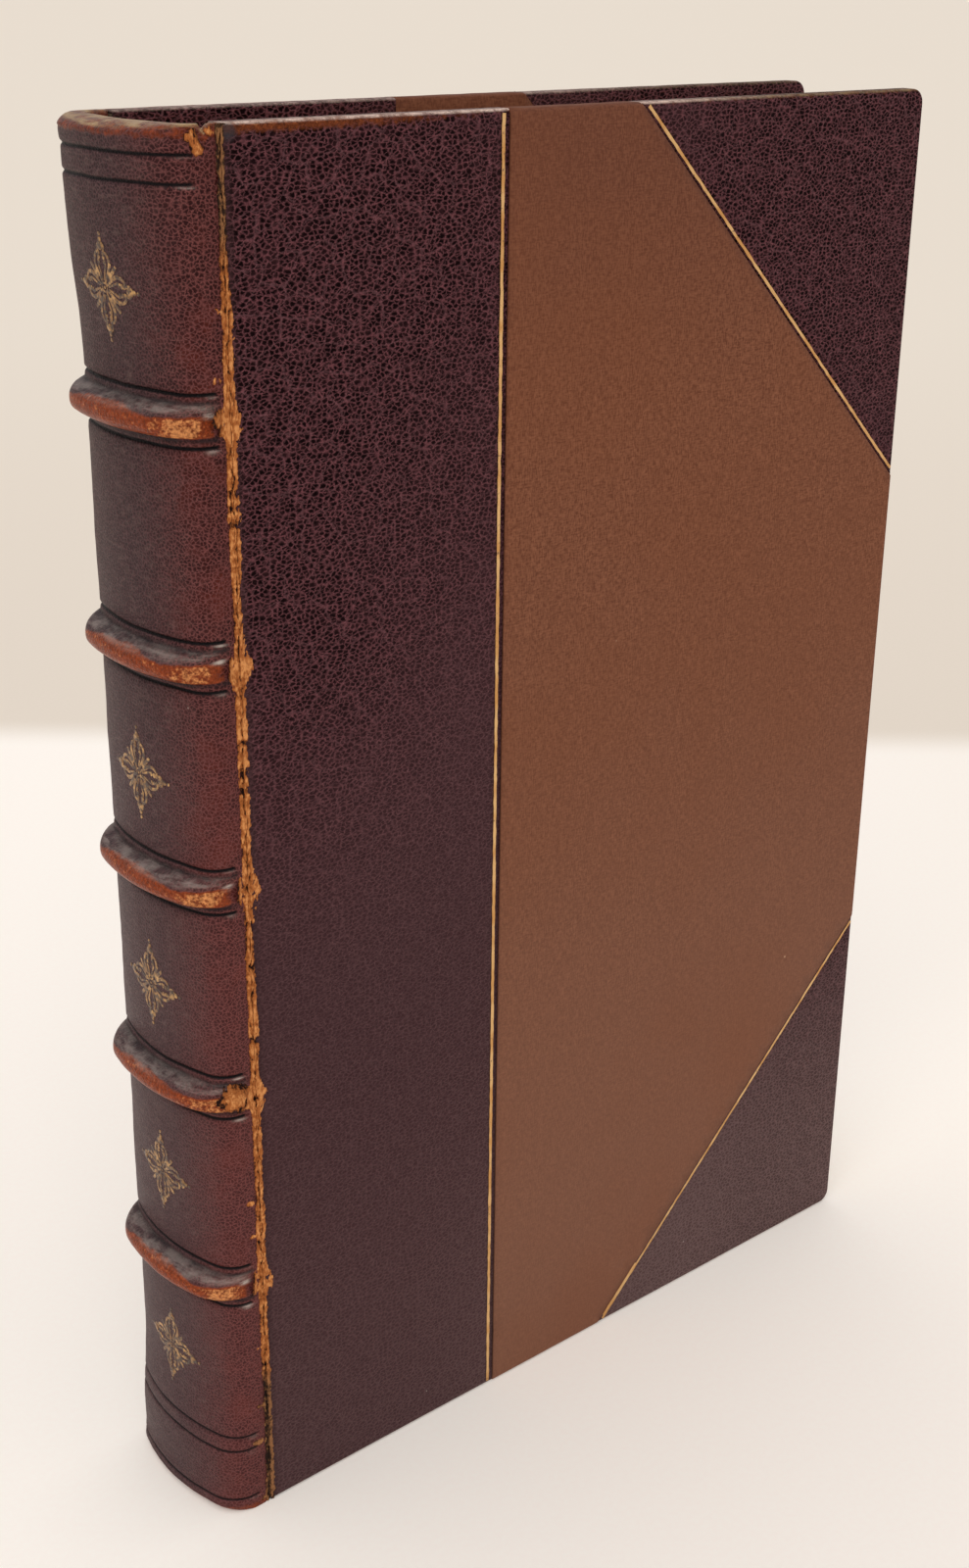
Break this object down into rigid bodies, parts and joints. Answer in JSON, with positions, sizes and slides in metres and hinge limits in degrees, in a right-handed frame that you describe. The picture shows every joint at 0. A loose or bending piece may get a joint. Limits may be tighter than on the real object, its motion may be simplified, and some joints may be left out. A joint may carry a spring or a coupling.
{
  "type": "half-leather book",
  "caption": "Closed half-leather book standing on its tail edge, with raised bands on a rounded spine, cloth sides, leather corners, and front and back covers that open at the joints.",
  "frame": {"origin": "under the middle of the closed book, on the surface that it stands on", "axes": "+Z from tail to head, +X from the spine to the fore-edge, +Y through the thickness from the front cover to the back cover"},
  "size_m": [0.1586, 0.0316, 0.23],
  "materials": {
    "pages": "uncoated, toned cream at the edges",
    "endpaper": "marbled, lightly polished",
    "lining": "plain",
    "silk": "sewn silk, soft sheen",
    "cord": "plain hemp cord",
    "spine_leather": "grained and polished, rubbed brown on bands and joints",
    "board_leather": "pebble grain, dark, half matt",
    "cloth": "fine ribbed book cloth, matt",
    "gilt": "gold leaf, tooled, a little rubbed",
    "millboard": "pressed board"
  },
  "bodies": {
    "book_block": {"text_block": "pages", "front_flyleaf": "endpaper", "back_flyleaf": "endpaper", "spine_lining": "lining", "head_endband": "silk", "tail_endband": "silk", "band_core_1": "cord", "band_core_2": "cord", "band_core_3": "cord", "band_core_4": "cord", "band_core_5": "cord", "spine_leather": "spine_leather", "spine_gilt": "gilt"},
    "front_cover": {"front_board": "millboard", "front_leather": "board_leather", "front_head_corner": "board_leather", "front_tail_corner": "board_leather", "front_cloth": "cloth", "front_gilt": "gilt", "front_pastedown": "endpaper"},
    "back_cover": {"back_board": "millboard", "back_leather": "board_leather", "back_head_corner": "board_leather", "back_tail_corner": "board_leather", "back_cloth": "cloth", "back_gilt": "gilt", "back_pastedown": "endpaper"}
  },
  "joints": [
    {"name": "front_joint", "type": "hinge", "parent": "book_block", "child": "front_cover", "pos_m": [-0.06775, -0.0156, 0.115], "axis": [0, 0, -1], "range_deg": [0, 178]},
    {"name": "back_joint", "type": "hinge", "parent": "book_block", "child": "back_cover", "pos_m": [-0.06775, 0.0156, 0.115], "axis": [0, 0, 1], "range_deg": [0, 178]}
  ]
}
